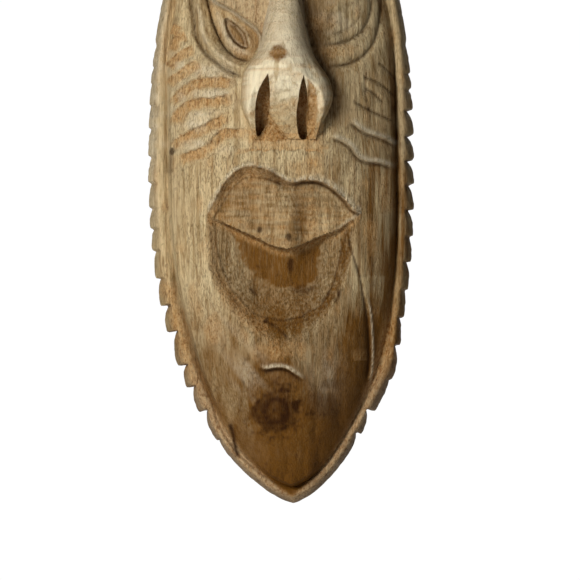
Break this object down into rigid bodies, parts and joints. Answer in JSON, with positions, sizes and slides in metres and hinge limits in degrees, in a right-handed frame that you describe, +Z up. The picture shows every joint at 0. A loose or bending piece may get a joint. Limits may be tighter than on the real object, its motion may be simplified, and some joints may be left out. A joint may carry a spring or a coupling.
{
  "type": "carved wooden wall mask",
  "caption": "Long carved wooden wall mask: toothed rim, slanting eyes, broad nose, two-peaked lip over a scooped mouth; hollow back with a swinging D-ring hanger.",
  "frame": {"origin": "the point of the wall plane where the wall hook comes out, level with the underside of the D-ring's arch", "axes": "+Z up the mask, towards the forehead; +Y out of its back into the wall, so the face looks along -Y; +X to the viewer's right when facing the mask. The wall is the plane y = 0."},
  "size_m": [0.1758, 0.088, 0.4572],
  "materials": {
    "carved_wood": "satin clear finish over pale cream sapwood, tan in the cuts, browner in the mouth and chin",
    "strap_steel": "brass-plated pressed steel",
    "ring_steel": "brass-plated steel wire",
    "screw_steel": "zinc-plated"
  },
  "bodies": {
    "mask": {"mask_carving": "carved_wood", "hanger_strap": "strap_steel", "hanger_screw_upper": "screw_steel", "hanger_screw_lower": "screw_steel"},
    "ring": {"hanger_ring": "ring_steel"}
  },
  "joints": [
    {"name": "ring_swing", "type": "hinge", "parent": "mask", "child": "ring", "pos_m": [0, -0.0038, -0.01575], "axis": [-1, 0, 0], "range_deg": [0, 170]}
  ]
}
